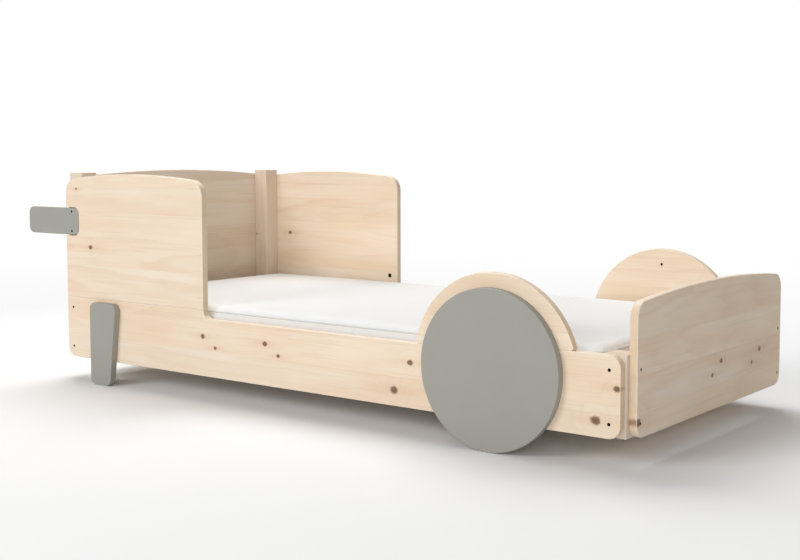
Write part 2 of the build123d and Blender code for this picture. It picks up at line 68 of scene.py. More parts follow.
class Bench:
    """Lays nodes in a tree and wires them as they are laid."""

    def __init__(self, tree):
        self.tree = tree

    def wire(self, value, target):
        if isinstance(value, bpy.types.NodeSocket):
            self.tree.links.new(value, target)
        else:
            target.default_value = value

    def lay(self, kind, inputs=None, **settings):
        node = self.tree.nodes.new(kind)
        for name, value in settings.items():
            setattr(node, name, value)
        for key, value in (inputs or {}).items():
            self.wire(value, node.inputs[key])
        return node

    def sum(self, operation, first, second=0.0, third=0.0, clamp=False):
        node = self.lay("ShaderNodeMath", operation=operation, use_clamp=clamp)
        for target, value in zip(node.inputs, (first, second, third)):
            self.wire(value, target)
        return node.outputs[0]

    def rise(self, value, start, end, low=0.0, high=1.0):
        """Goes smoothly from low to high as the value goes from start to end."""
        node = self.lay("ShaderNodeMapRange", interpolation_type="SMOOTHSTEP")
        for key, part in zip(
            ("Value", "From Min", "From Max", "To Min", "To Max"), (value, start, end, low, high)
        ):
            self.wire(part, node.inputs[key])
        return node.outputs["Result"]

    def tint(self, share, under, over, way="MIX"):
        node = self.lay("ShaderNodeMix", data_type="RGBA", blend_type=way)
        for target, value in zip((node.inputs[0], node.inputs[6], node.inputs[7]), (share, under, over)):
            self.wire(value, target)
        return node.outputs[2]

    def vector(self, x, y, z):
        return self.lay("ShaderNodeCombineXYZ", {0: x, 1: y, 2: z}).outputs[0]

    def stretch(self, vector, x, y, z):
        inputs = {0: vector, 1: (x, y, z)}
        return self.lay("ShaderNodeVectorMath", inputs, operation="MULTIPLY").outputs[0]

    def shift(self, vector, other):
        return self.lay("ShaderNodeVectorMath", {0: vector, 1: other}, operation="ADD").outputs[0]

    def cloud(self, vector, scale=1.0, detail=2.0, roughness=0.5):
        inputs = {"Vector": vector, "Scale": scale, "Detail": detail, "Roughness": roughness}
        return self.lay("ShaderNodeTexNoise", inputs).outputs["Fac"]

    def chance(self, vector):
        """Random numbers, the same for the same place."""
        return self.lay("ShaderNodeTexWhiteNoise", {"Vector": vector}, noise_dimensions="3D")

    def parts(self, vector):
        return self.lay("ShaderNodeSeparateXYZ", {0: vector}).outputs

    def use(self, group, **inputs):
        node = self.lay("ShaderNodeGroup")
        node.node_tree = group
        for name, value in inputs.items():
            self.wire(value, node.inputs[name.replace("_", " ")])
        return node


SOCKETS = {"value": "NodeSocketFloat", "vector": "NodeSocketVector", "colour": "NodeSocketColor"}


def shared(name, inputs, outputs):
    """An effect that several finishes share: its group, the bench, what comes in, what goes out."""
    tree = bpy.data.node_groups.new(name, "ShaderNodeTree")
    for way, sockets in (("INPUT", inputs), ("OUTPUT", outputs)):
        for label, kind in sockets.items():
            tree.interface.new_socket(name=label, in_out=way, socket_type=SOCKETS[kind])
    bench = Bench(tree)
    inlet = bench.lay("NodeGroupInput").outputs
    outlet = bench.lay("NodeGroupOutput").inputs
    return tree, bench, inlet, outlet


# ---- effects that the finishes share ----


def knot_effect():
    """One knot through a board: it bends the rings, darkens its core and tints what is round it."""
    tree, bench, inlet, outlet = shared(
        "knot_through_board",
        {
            "Board": "vector", "Along": "value", "Across": "value", "Radius": "value",
            "Bend": "value", "Core": "value", "Halo": "value",
        },
        {"Bend": "value", "Core": "value", "Halo": "value"},
    )
    place = bench.parts(inlet["Board"])
    ragged = bench.sum("SUBTRACT", bench.cloud(inlet["Board"], 95.0, 2.0), 0.5)
    ragged = bench.sum("MULTIPLY", ragged, bench.sum("MULTIPLY", inlet["Radius"], 0.7))
    along = bench.sum("DIVIDE", bench.sum("SUBTRACT", place[0], inlet["Along"]), 1.25)
    across = bench.sum("SUBTRACT", place[1], inlet["Across"])
    reach = bench.sum(
        "SQRT", bench.sum("ADD", bench.sum("POWER", along, 2.0), bench.sum("POWER", across, 2.0))
    )
    reach = bench.sum("DIVIDE", bench.sum("ADD", reach, ragged), inlet["Radius"])
    core = bench.rise(reach, 0.6, 1.25, 1.0, 0.0)
    darkest = bench.sum("MAXIMUM", inlet["Core"], core)
    fall = bench.sum("POWER", bench.sum("DIVIDE", reach, 2.7), 2.0)
    near = bench.sum("EXPONENT", bench.sum("MULTIPLY", fall, -1.0))
    bend = bench.sum("MULTIPLY", bench.sum("MULTIPLY", near, inlet["Radius"]), 1.5)
    tail_length = bench.sum("MULTIPLY", inlet["Radius"], 6.0)
    tail_width = bench.sum("MULTIPLY", inlet["Radius"], 1.4)
    long_way = bench.sum("POWER", bench.sum("DIVIDE", along, tail_length), 2.0)
    side_way = bench.sum("POWER", bench.sum("DIVIDE", across, tail_width), 2.0)
    tail = bench.sum("EXPONENT", bench.sum("MULTIPLY", bench.sum("ADD", long_way, side_way), -1.0))
    bench.wire(bench.sum("ADD", inlet["Bend"], bend), outlet["Bend"])
    bench.wire(darkest, outlet["Core"])
    bench.wire(bench.sum("MAXIMUM", inlet["Halo"], bench.sum("MULTIPLY", tail, 0.8)), outlet["Halo"])
    return tree


def pine_effect():
    """Edge-glued pine: strips with their own rings, soft figure, fibres, glue lines, end grain and a painted
    highlight on the arrises.
    """
    tree, bench, inlet, outlet = shared(
        "edge_glued_pine",
        {
            "Board": "vector", "Seed": "value", "Strip": "value", "Figure": "value", "Bend": "value",
            "Core": "value", "Halo": "value", "End": "value", "Arris": "value",
        },
        {"Color": "colour", "Roughness": "value", "Height": "value"},
    )
    board = inlet["Board"]
    along, across, through = bench.parts(board)
    strips = bench.sum("ADD", bench.sum("DIVIDE", across, inlet["Strip"]), inlet["Seed"])
    strip = bench.sum("FLOOR", strips)
    within = bench.sum("SUBTRACT", bench.sum("FRACT", strips), 0.5)
    luck = bench.chance(bench.vector(strip, inlet["Seed"], 3.7))
    first, second, third = bench.parts(luck.outputs["Color"])
    apart = bench.vector(
        bench.sum("MULTIPLY", first, 31.0),
        bench.sum("MULTIPLY", second, 17.0),
        bench.sum("MULTIPLY", third, 23.0),
    )

    # Rings round a heart that lies under each strip, leaning a little along it
    heart = bench.sum("MULTIPLY_ADD", first, 0.11, 0.035)
    offside = bench.sum("MULTIPLY_ADD", second, 0.09, -0.045)
    lean = bench.sum("MULTIPLY_ADD", third, 0.05, -0.025)
    sideways = bench.sum("SUBTRACT", bench.sum("MULTIPLY", within, inlet["Strip"]), offside)
    deep = bench.sum("ADD", through, heart)
    ring_reach = bench.sum(
        "SQRT", bench.sum("ADD", bench.sum("POWER", sideways, 2.0), bench.sum("POWER", deep, 2.0))
    )
    slow = bench.cloud(bench.shift(bench.stretch(board, 0.8, 7.0, 7.0), apart), 1.0, 2.0)
    quick = bench.cloud(bench.shift(bench.stretch(board, 6.0, 42.0, 42.0), apart), 1.0, 2.0)
    wander = bench.sum("MULTIPLY_ADD", slow, 0.022, bench.sum("MULTIPLY", quick, 0.0028))
    ring_reach = bench.sum("ADD", ring_reach, wander)
    ring_reach = bench.sum("ADD", ring_reach, bench.sum("MULTIPLY", along, lean))
    ring_reach = bench.sum("ADD", ring_reach, inlet["Bend"])
    rings = bench.sum("DIVIDE", ring_reach, 0.0046)
    turn = bench.sum("FRACT", rings)
    late = bench.sum("MULTIPLY", bench.rise(turn, 0.3, 0.86), bench.rise(turn, 0.9, 1.0, 1.0, 0.0))
    strong = bench.chance(bench.vector(bench.sum("FLOOR", rings), strip, inlet["Seed"])).outputs["Value"]
    late = bench.sum("MULTIPLY", late, bench.sum("MULTIPLY_ADD", strong, 0.75, 0.25))

    # Soft figure: pale and warm clouds, thin streaks and fibres
    cloud = bench.cloud(bench.shift(bench.stretch(board, 1.9, 11.0, 11.0), apart), 1.0, 3.0, 0.55)
    brush = bench.cloud(bench.shift(bench.stretch(board, 5.0, 48.0, 48.0), apart), 1.0, 3.0, 0.6)
    streak = bench.cloud(bench.shift(bench.stretch(board, 2.2, 150.0, 150.0), apart), 1.0, 3.0, 0.6)
    fibre = bench.cloud(bench.stretch(board, 26.0, 1500.0, 1500.0), 1.0, 2.0)
    warm = bench.rise(cloud, 0.42, 0.68)
    warm = bench.sum("MULTIPLY_ADD", bench.rise(brush, 0.5, 0.74), 0.35, bench.sum("MULTIPLY", warm, 0.75))
    pale = bench.rise(cloud, 0.44, 0.27)
    colour = bench.tint(warm, linear(242, 224, 201), linear(237, 212, 184))
    colour = bench.tint(bench.sum("MULTIPLY", pale, 0.75), colour, linear(244, 230, 214))
    figure = bench.sum("MULTIPLY", inlet["Figure"], bench.sum("MULTIPLY_ADD", inlet["End"], 0.9, 1.0))
    ringed = bench.sum("MULTIPLY", late, bench.sum("MULTIPLY", figure, 0.17), clamp=True)
    colour = bench.tint(ringed, colour, linear(214, 176, 138))
    thin = bench.sum("MULTIPLY", bench.rise(streak, 0.54, 0.74), bench.sum("MULTIPLY", inlet["Figure"], 0.34))
    colour = bench.tint(thin, colour, linear(214, 187, 158))
    tone = bench.sum("MULTIPLY_ADD", second, 0.05, 0.975)
    tone = bench.sum("MULTIPLY", tone, bench.sum("MULTIPLY_ADD", fibre, 0.05, 0.975))
    colour = bench.tint(1.0, colour, bench.vector(tone, tone, tone), "MULTIPLY")

    # Glue lines between strips, and knots
    edge = bench.sum("SUBTRACT", 0.5, bench.sum("ABSOLUTE", within))
    glue = bench.rise(bench.sum("MULTIPLY", edge, inlet["Strip"]), 0.0001, 0.0006, 1.0, 0.0)
    colour = bench.tint(bench.sum("MULTIPLY", glue, 0.22), colour, linear(196, 160, 122))
    colour = bench.tint(bench.sum("MULTIPLY", inlet["Halo"], 0.45), colour, linear(216, 178, 138))
    rings_in_knot = bench.cloud(bench.stretch(board, 380.0, 380.0, 60.0), 1.0, 2.0)
    knot = bench.tint(rings_in_knot, linear(80, 54, 40), linear(142, 102, 74))
    colour = bench.tint(bench.sum("MULTIPLY", inlet["Core"], 0.93), colour, knot)

    # End grain is darker, and the arris is lightened as a painted highlight
    colour = bench.tint(bench.sum("MULTIPLY", inlet["End"], 0.34), colour, linear(214, 180, 142))
    colour = bench.tint(bench.sum("MULTIPLY", inlet["Arris"], 0.55), colour, linear(250, 240, 225))
    bench.wire(colour, outlet["Color"])
    rough = bench.sum("MULTIPLY_ADD", fibre, 0.10, 0.47)
    rough = bench.sum("MULTIPLY_ADD", inlet["End"], 0.12, rough)
    bench.wire(bench.sum("MULTIPLY_ADD", inlet["Core"], -0.10, rough), outlet["Roughness"])
    height = bench.sum("MULTIPLY_ADD", late, 0.5, bench.sum("MULTIPLY", fibre, 0.5))
    height = bench.sum("MULTIPLY_ADD", glue, -0.6, height)
    bench.wire(bench.sum("MULTIPLY_ADD", inlet["Core"], -0.5, height), outlet["Height"])
    return tree


def lacquer_effect():
    """Rolled paint on a board: fine stipple, soft mottling, thin paint and small rubs on the arrises."""
    tree, bench, inlet, outlet = shared(
        "rolled_lacquer",
        {"Place": "vector", "Arris": "value", "Paint": "colour", "Rubbed": "colour"},
        {"Color": "colour", "Roughness": "value", "Height": "value"},
    )
    place = inlet["Place"]
    mottle = bench.cloud(place, 9.0, 3.0, 0.6)
    stipple = bench.cloud(place, 1100.0, 2.0)
    strokes = bench.cloud(bench.stretch(place, 30.0, 240.0, 30.0), 1.0, 2.0)
    tone = bench.sum("MULTIPLY_ADD", mottle, 0.07, 0.955)
    tone = bench.sum("MULTIPLY_ADD", stipple, 0.03, tone)
    colour = bench.tint(1.0, inlet["Paint"], bench.vector(tone, tone, tone), "MULTIPLY")
    rub = bench.rise(bench.cloud(place, 70.0, 3.0, 0.65), 0.5, 0.72)
    worn = bench.sum("MULTIPLY", inlet["Arris"], bench.sum("MULTIPLY_ADD", rub, 0.35, 0.12))
    bench.wire(bench.tint(worn, colour, inlet["Rubbed"]), outlet["Color"])
    rough = bench.sum("MULTIPLY_ADD", stipple, 0.10, 0.42)
    bench.wire(bench.sum("MULTIPLY_ADD", mottle, 0.08, rough), outlet["Roughness"])
    bench.wire(bench.sum("MULTIPLY_ADD", strokes, 0.35, stipple), outlet["Height"])
    return tree


def cloth_effect():
    """Knitted or woven threads, laid on each side of a piece by the way that side faces."""
    tree, bench, inlet, outlet = shared(
        "threads",
        {"Place": "vector", "Facing": "vector", "Pitch": "value", "Thread": "colour", "Gap": "colour"},
        {"Color": "colour", "Roughness": "value", "Height": "value"},
    )
    x, y, z = bench.parts(inlet["Place"])
    face_x, face_y, face_z = (bench.sum("ABSOLUTE", part) for part in bench.parts(inlet["Facing"]))
    flat = bench.sum("GREATER_THAN", face_z, 0.6)
    steep = bench.sum("SUBTRACT", 1.0, flat)
    endways = bench.sum("MULTIPLY", bench.sum("GREATER_THAN", face_x, face_y), steep)
    # On top U and V are X and Y, on a long side X and Z, and on an end Y and Z
    over = bench.sum("ADD", bench.sum("MULTIPLY", bench.sum("SUBTRACT", y, x), endways), x)
    up = bench.sum("ADD", bench.sum("MULTIPLY", bench.sum("SUBTRACT", y, z), flat), z)
    turn = bench.sum("DIVIDE", FULL_TURN, inlet["Pitch"])
    u = bench.sum("MULTIPLY", over, turn)
    v = bench.sum("MULTIPLY", up, turn)
    zigzag = bench.sum("SINE", u)
    slope = bench.sum("MULTIPLY", zigzag, 1.1)
    loops = bench.sum("SINE", bench.sum("ADD", bench.sum("MULTIPLY", v, 1.3), slope))
    ribs = bench.sum("ABSOLUTE", bench.sum("SINE", bench.sum("MULTIPLY", u, 0.5)))
    humps = bench.sum("MULTIPLY_ADD", loops, 0.5, 0.5)
    threads = bench.sum("MULTIPLY", humps, bench.sum("MULTIPLY_ADD", ribs, 0.6, 0.4))
    fuzz = bench.cloud(inlet["Place"], 1700.0, 2.0)
    soft = bench.cloud(inlet["Place"], 5.0, 3.0, 0.55)
    shade = bench.sum("MULTIPLY_ADD", fuzz, 0.25, bench.sum("MULTIPLY", threads, 0.75))
    colour = bench.tint(shade, inlet["Gap"], inlet["Thread"])
    tone = bench.sum("MULTIPLY_ADD", soft, 0.05, 0.97)
    colour = bench.tint(1.0, colour, bench.vector(tone, tone, tone), "MULTIPLY")
    bench.wire(colour, outlet["Color"])
    bench.wire(bench.sum("MULTIPLY_ADD", fuzz, 0.12, 0.80), outlet["Roughness"])
    bench.wire(bench.sum("MULTIPLY_ADD", fuzz, 0.4, threads), outlet["Height"])
    return tree


def metal_effect():
    """Turned and plated metal: fine turning marks, and cloudy plating that is duller in patches."""
    tree, bench, inlet, outlet = shared(
        "plated_metal",
        {"Place": "vector", "Plate": "colour", "Dull": "colour", "Polish": "value"},
        {"Color": "colour", "Roughness": "value", "Height": "value"},
    )
    marks = bench.cloud(bench.stretch(inlet["Place"], 900.0, 900.0, 3500.0), 1.0, 2.0)
    clouds = bench.cloud(inlet["Place"], 260.0, 3.0)
    share = bench.rise(clouds, 0.4, 0.65)
    bench.wire(bench.tint(share, inlet["Plate"], inlet["Dull"]), outlet["Color"])
    bench.wire(bench.sum("MULTIPLY_ADD", marks, 0.22, inlet["Polish"]), outlet["Roughness"])
    bench.wire(marks, outlet["Height"])
    return tree


KNOT = knot_effect()
PINE = pine_effect()
LACQUER = lacquer_effect()
THREADS = cloth_effect()
PLATED = metal_effect()


# ---- finishes ----


def new_finish(name, relief):
    """A material with its shader, the bench it is laid on, its coordinates and a bump of that relief."""
    material = bpy.data.materials.new(name)
    material.use_nodes = True
    tree = material.node_tree
    tree.nodes.clear()
    bench = Bench(tree)
    shader = bench.lay("ShaderNodeBsdfPrincipled")
    bench.lay("ShaderNodeOutputMaterial", {"Surface": shader.outputs[0]})
    bump = bench.lay("ShaderNodeBump", {"Strength": 1.0, "Distance": relief})
    bench.wire(bump.outputs[0], shader.inputs["Normal"])
    place = bench.lay("ShaderNodeTexCoord").outputs
    return material, bench, shader, bump, place


def join(bench, effect, shader, bump, depth=NO_PAINTED_SHADE):
    """Feed a shared effect's colour, darkened by painted shade where asked, and its roughness and height to
    the shader.
    """
    colour = effect.outputs["Color"]
    # Painted shade: depth darkens the colour of pieces that stand in shade
    if depth != NO_PAINTED_SHADE:
        colour = bench.tint(1.0, colour, (*depth, 1.0), "MULTIPLY")
    bench.wire(colour, shader.inputs["Base Color"])
    bench.wire(effect.outputs["Roughness"], shader.inputs["Roughness"])
    bench.wire(effect.outputs["Height"], bump.inputs["Height"])


def arris_mask(bench, normal, axis):
    """1 on the rounded arrises of a board that is thin along the axis, and 0 on its faces and edges."""
    facing = bench.sum("POWER", bench.parts(normal)[axis], 2.0)
    other = bench.sum("SUBTRACT", 1.0, facing)
    return bench.sum("MULTIPLY", bench.sum("MULTIPLY", facing, other), 4.0, clamp=True)


def pine(name, grain, across, seed, knots, strip=0.085, depth=NO_PAINTED_SHADE):
    """Pine for one board: its grain and width axes, its knots as (along, across, radius), and depth as
    painted shade.
    """
    material, bench, shader, bump, place = new_finish(name, 0.00012)
    thin = ({LENGTHWISE, CROSSWISE, UPRIGHT} - {grain, across}).pop()
    axes = bench.parts(place["Object"])
    board = bench.vector(axes[grain], axes[across], axes[thin])
    bend = core = halo = 0.0
    for along, over, radius in knots:
        knot = bench.use(
            KNOT, Board=board, Along=along, Across=over, Radius=radius, Bend=bend, Core=core, Halo=halo
        )
        bend, core, halo = (knot.outputs[part] for part in ("Bend", "Core", "Halo"))
    facing = bench.sum("ABSOLUTE", bench.parts(place["Normal"])[grain])
    wood = bench.use(
        PINE, Board=board, Seed=seed, Strip=strip, Figure=1.0, Bend=bend, Core=core, Halo=halo,
        End=bench.rise(facing, 0.6, 0.95), Arris=arris_mask(bench, place["Normal"], thin),
    )
    join(bench, wood, shader, bump, depth)
    shader.inputs["Specular IOR Level"].default_value = 0.32
    return material


def repeated_pine(name, grain, across, spacing, seed, figure):
    """Pine for a row of like bars: each bar has its own rings, picked by its place in the row."""
    material, bench, shader, bump, place = new_finish(name, 0.00015)
    thin = ({LENGTHWISE, CROSSWISE, UPRIGHT} - {grain, across}).pop()
    axes = bench.parts(place["Object"])
    number = bench.sum("FLOOR", bench.sum("DIVIDE", axes[across], spacing))
    luck = bench.parts(bench.chance(bench.vector(number, seed, 0.5)).outputs["Color"])
    along = bench.sum("MULTIPLY_ADD", luck[0], 9.0, axes[grain])
    board = bench.vector(along, axes[across], axes[thin])
    knots = bench.lay(
        "ShaderNodeTexVoronoi", {"Vector": bench.stretch(board, 3.1, 5.0, 0.0), "Scale": 1.0}, feature="F1"
    )
    reach = knots.outputs["Distance"]
    picked = bench.sum("GREATER_THAN", bench.parts(knots.outputs["Color"])[0], 0.55)
    core = bench.sum("MULTIPLY", bench.rise(reach, 0.018, 0.036, 1.0, 0.0), picked)
    halo = bench.sum("MULTIPLY", bench.rise(reach, 0.02, 0.11, 0.7, 0.0), picked)
    facing = bench.sum("ABSOLUTE", bench.parts(place["Normal"])[grain])
    wood = bench.use(
        PINE, Board=board, Seed=bench.sum("MULTIPLY", luck[1], 40.0), Strip=4.0, Figure=figure,
        Bend=bench.sum("MULTIPLY", halo, 0.012), Core=core, Halo=halo,
        End=bench.rise(facing, 0.6, 0.95), Arris=arris_mask(bench, place["Normal"], thin),
    )
    join(bench, wood, shader, bump)
    shader.inputs["Specular IOR Level"].default_value = 0.28
    return material


def grey_lacquer(name):
    material, bench, shader, bump, place = new_finish(name, 0.00006)
    paint = bench.use(
        LACQUER, Place=place["Object"], Arris=arris_mask(bench, place["Normal"], CROSSWISE),
        Paint=linear(158, 157, 149), Rubbed=linear(178, 176, 168),
    )
    join(bench, paint, shader, bump)
    shader.inputs["Specular IOR Level"].default_value = 0.4
    return material


def cloth(name, thread, gap, pitch, relief):
    material, bench, shader, bump, place = new_finish(name, relief)
    weave = bench.use(
        THREADS, Place=place["Object"], Facing=place["Normal"], Pitch=pitch, Thread=thread, Gap=gap
    )
    join(bench, weave, shader, bump)
    shader.inputs["Specular IOR Level"].default_value = 0.2
    shader.inputs["Sheen Weight"].default_value = 0.15
    shader.inputs["Sheen Roughness"].default_value = 0.5
    return material


def plated(name, plate, dull, polish, metallic=1.0):
    material, bench, shader, bump, place = new_finish(name, 0.00002)
    metal = bench.use(PLATED, Place=place["Object"], Plate=plate, Dull=dull, Polish=polish)
    join(bench, metal, shader, bump)
    shader.inputs["Metallic"].default_value = metallic
    return material


def paint_node(name, material):
    """Give a CAD node its finish."""
    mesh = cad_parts[name].data
    if not mesh.materials:
        mesh.materials.append(material)
    for number in range(len(mesh.materials)):
        mesh.materials[number] = material


def scattered_knots(node, grain, across, count, seed):
    """Knots at places picked at random, for wood whose own knots the photograph doesn't show."""
    low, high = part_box(node)
    dice = random.Random(seed)
    knots = []
    for _ in range(count):
        along = dice.uniform(low[grain] + 0.04, high[grain] - 0.04)
        over = dice.uniform(low[across] + 0.02, high[across] - 0.02)
        knots.append((along, over, dice.uniform(0.0035, 0.0095)))
    return knots


# Painted shade: the head panel and posts are darkened because they stand in shade; their wood is no deeper
# than the rest
HEAD_PANEL_PAINTED_SHADE = (0.92, 0.94, 0.98)
POST_PAINTED_SHADE = (0.88, 0.90, 0.93)


def dress_wood():
    near_rail = [
        (-0.2887, 0.194, 0.0072), (-0.2369, 0.1636, 0.0052), (-0.0336, 0.1947, 0.0078),
        (0.018, 0.1651, 0.0055), (0.4348, 0.1165, 0.0105), (0.4879, 0.1941, 0.0075),
        (1.033, 0.1142, 0.011), (1.0884, 0.194, 0.0078),
    ]
    near_guard = [(-0.8047, 0.4351, 0.0075), (-0.8722, 0.6205, 0.004), (-0.9304, 0.4336, 0.006)]
    far_guard = [(-0.805, 0.4361, 0.0068)]
    foot = [
        (0.0289, 0.1958, 0.0072), (-0.0257, 0.1655, 0.0055), (0.2876, 0.1953, 0.0078),
        (0.2337, 0.1645, 0.0055), (-0.435, 0.1131, 0.010),
    ]
    far_rail = scattered_knots("left_side_rail", LENGTHWISE, UPRIGHT, 8, 21)
    for node, grain, seed, knots in (
        ("right_side_rail", LENGTHWISE, 3.21, near_rail),
        ("right_head_guard", LENGTHWISE, 7.55, near_guard),
        ("left_head_guard", LENGTHWISE, 9.31, far_guard),
        ("foot_panel", CROSSWISE, 12.4, foot),
        ("left_side_rail", LENGTHWISE, 28.77, far_rail),
        ("right_wheel_arch", LENGTHWISE, 6.85, []),
        ("left_wheel_arch", LENGTHWISE, 10.96, []),
        ("head_panel", CROSSWISE, 42.47, []),
    ):
        # Painted shade on the head panel; the other boards keep their own colour
        depth = HEAD_PANEL_PAINTED_SHADE if node == "head_panel" else NO_PAINTED_SHADE
        paint_node(node, pine(f"pine_{node}", grain, UPRIGHT, seed, knots, depth=depth))
    for number, node in enumerate(
        ("right_head_post", "left_head_post", "right_foot_post", "left_foot_post")
    ):
        across, knots = CROSSWISE, []
        if node == "left_head_post":
            # The one knot that shows is on the face towards the bed's middle
            across, knots = LENGTHWISE, [(0.4301, -0.9217, 0.003)]
        elif node != "right_head_post":
            knots = scattered_knots(node, UPRIGHT, CROSSWISE, 2, 40 + number)
        # Painted shade on every post
        wood = pine(
            f"pine_{node}", UPRIGHT, across, 15.3 + number, knots, strip=0.09, depth=POST_PAINTED_SHADE
        )
        paint_node(node, wood)
    ledger = repeated_pine("pine_ledgers", LENGTHWISE, CROSSWISE, 0.2, 4.0, 1.2)
    for node in ("right_slat_ledger", "left_slat_ledger"):
        paint_node(node, ledger)
    first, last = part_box("bed_slat_01"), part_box("bed_slat_14")
    spacing = (last[0].x - first[0].x) / (SLAT_COUNT - 1)
    slats = repeated_pine("pine_slats", CROSSWISE, LENGTHWISE, spacing, 6.0, 1.3)
    for number in range(SLAT_COUNT):
        paint_node(f"bed_slat_{number + 1:02d}", slats)
    beech = repeated_pine("beech_dowels", UPRIGHT, LENGTHWISE, 0.05, 8.0, 0.6)
    paint_node("joint_dowels", beech)


def dress_paint_and_metal():
    grey = grey_lacquer("grey_lacquer")
    for side in ("right", "left"):
        for piece in ("wheel_disc", "leg", "handle"):
            paint_node(f"{side}_{piece}", grey)
    black = plated("blackened_steel", linear(34, 33, 32), linear(22, 21, 21), 0.38, 0.85)
    for node in ("rail_bolts", "handle_bolts", "panel_bolts", "wheel_disc_screws", "guard_cams"):
        paint_node(node, black)
    zinc = plated("zinc_steel", linear(196, 197, 199), linear(160, 161, 164), 0.26)
    for node in ("post_inserts", "guard_cam_pins", "leg_screws", "ledger_screws"):
        paint_node(node, zinc)
    return zinc


# ---- making meshes ----


def new_object(name, mesh):
    made = bpy.data.objects.new(name, mesh)
    bpy.context.scene.collection.objects.link(made)
    return made


def shade_smooth(mesh):
    mesh.polygons.foreach_set("use_smooth", [True] * len(mesh.polygons))
    mesh.update()


def baked(source, name, remove=True):
    """The object's modifiers, bevels or nodes worked out into a plain mesh of its own."""
    graph = bpy.context.evaluated_depsgraph_get()
    mesh = bpy.data.meshes.new_from_object(source.evaluated_get(graph), depsgraph=graph)
    mesh.name = name
    made = new_object(name, mesh)
    if remove:
        bpy.data.objects.remove(source)
    return made


class Pattern:
    """A Geometry Nodes tree with named inputs, ending in Realize Instances and Set Material."""

    def __init__(self, name, inputs):
        self.tree = bpy.data.node_groups.new(name, "GeometryNodeTree")
        self.bench = Bench(self.tree)
        face = self.tree.interface
        face.new_socket(name="Geometry", in_out="INPUT", socket_type="NodeSocketGeometry")
        self.keys = {}
        for label in inputs:
            made = face.new_socket(name=label, in_out="INPUT", socket_type="NodeSocketFloat")
            self.keys[label] = made.identifier
        face.new_socket(name="Geometry", in_out="OUTPUT", socket_type="NodeSocketGeometry")
        self.inlet = self.bench.lay("NodeGroupInput").outputs
        self.outlet = self.bench.lay("NodeGroupOutput").inputs

    def end(self, geometry, material):
        real = self.bench.lay("GeometryNodeRealizeInstances", {0: geometry})
        smooth = self.bench.lay("GeometryNodeSetShadeSmooth", {0: real.outputs[0]})
        done = self.bench.lay("GeometryNodeSetMaterial", {0: smooth.outputs[0], "Material": material})
        self.bench.wire(done.outputs[0], self.outlet["Geometry"])

    def make(self, source, name, **sizes):
        modifier = source.modifiers.new("pattern", "NODES")
        modifier.node_group = self.tree
        for label, value in sizes.items():
            modifier[self.keys[label]] = value
        return baked(source, name)


def closed_line(name, points):
    """A closed curve of straight runs through points close enough together to look smooth."""
    curve = bpy.data.curves.new(name, "CURVE")
    curve.dimensions = "3D"
    spline = curve.splines.new("POLY")
    spline.points.add(len(points) - 1)
    for target, point in zip(spline.points, points):
        target.co = (*point, 1.0)
    spline.use_cyclic_u = True
    return new_object(name, curve)


def stitches_pattern(thread):
    """Stitches lying along a line."""
    pattern = Pattern("stitches", ("Spacing", "Length", "Width"))
    bench = pattern.bench
    points = bench.lay(
        "GeometryNodeCurveToPoints", {"Curve": pattern.inlet["Geometry"], "Length": pattern.inlet["Spacing"]},
        mode="LENGTH",
    )
    stitch = bench.lay("GeometryNodeMeshUVSphere", {"Segments": 6, "Rings": 4, "Radius": 0.5})
    wide = pattern.inlet["Width"]
    size = bench.vector(wide, wide, pattern.inlet["Length"])
    placed = bench.lay(
        "GeometryNodeInstanceOnPoints",
        {
            "Points": points.outputs["Points"], "Instance": stitch.outputs["Mesh"],
            "Rotation": points.outputs["Rotation"], "Scale": size,
        },
    )
    pattern.end(placed.outputs[0], thread)
    return pattern


def screws_pattern(metal):
    """Countersunk screw heads with a cross recess, one on each point."""
    pattern = Pattern("screw_heads", ("Radius", "Depth"))
    bench = pattern.bench
    radius, depth = pattern.inlet["Radius"], pattern.inlet["Depth"]
    tip = bench.sum("MULTIPLY", radius, 0.5)
    head = bench.lay(
        "GeometryNodeMeshCone",
        {"Vertices": 20, "Radius Top": radius, "Radius Bottom": tip, "Depth": depth},
    )
    long_way = bench.sum("MULTIPLY", radius, 1.1)
    short_way = bench.sum("MULTIPLY", radius, 0.26)
    tall = bench.sum("MULTIPLY", depth, 0.9)
    bars = []
    for size in ((long_way, short_way, tall), (short_way, long_way, tall)):
        bar = bench.lay("GeometryNodeMeshCube", {"Size": bench.vector(*size)})
        lifted = bench.lay(
            "GeometryNodeTransform",
            {"Geometry": bar.outputs[0], "Translation": bench.vector(0.0, 0.0, depth)},
        )
        bars.append(lifted.outputs[0])
    cross = bench.lay("GeometryNodeMeshBoolean", operation="DIFFERENCE")
    bench.wire(head.outputs["Mesh"], cross.inputs[0])
    for bar in bars:
        bench.tree.links.new(bar, cross.inputs[1])
    dropped = bench.lay(
        "GeometryNodeTransform",
        {
            "Geometry": cross.outputs[0],
            "Translation": bench.vector(0.0, 0.0, bench.sum("MULTIPLY", depth, -1.0)),
        },
    )
    placed = bench.lay(
        "GeometryNodeInstanceOnPoints", {"Points": pattern.inlet["Geometry"], "Instance": dropped.outputs[0]}
    )
    pattern.end(placed.outputs[0], metal)
    return pattern


# ---- mattress ----

# The cover's top stands this much above the CAD solid's, as the photograph's mattress does
COVER_RISE = 0.009
COVER_CORNER = 0.042
COVER_RIM = 0.020
SWELL_ROOM = 0.005
SETTLE_FRAMES = 20
SEAM_FROM_EDGE = 0.020
PUCKER_REACH = 0.014
EDGING_RADIUS = 0.0028
EDGING_LIFT = 0.0008
STITCH_OFFSET = 0.0065
STITCH_LIFT = 0.0002


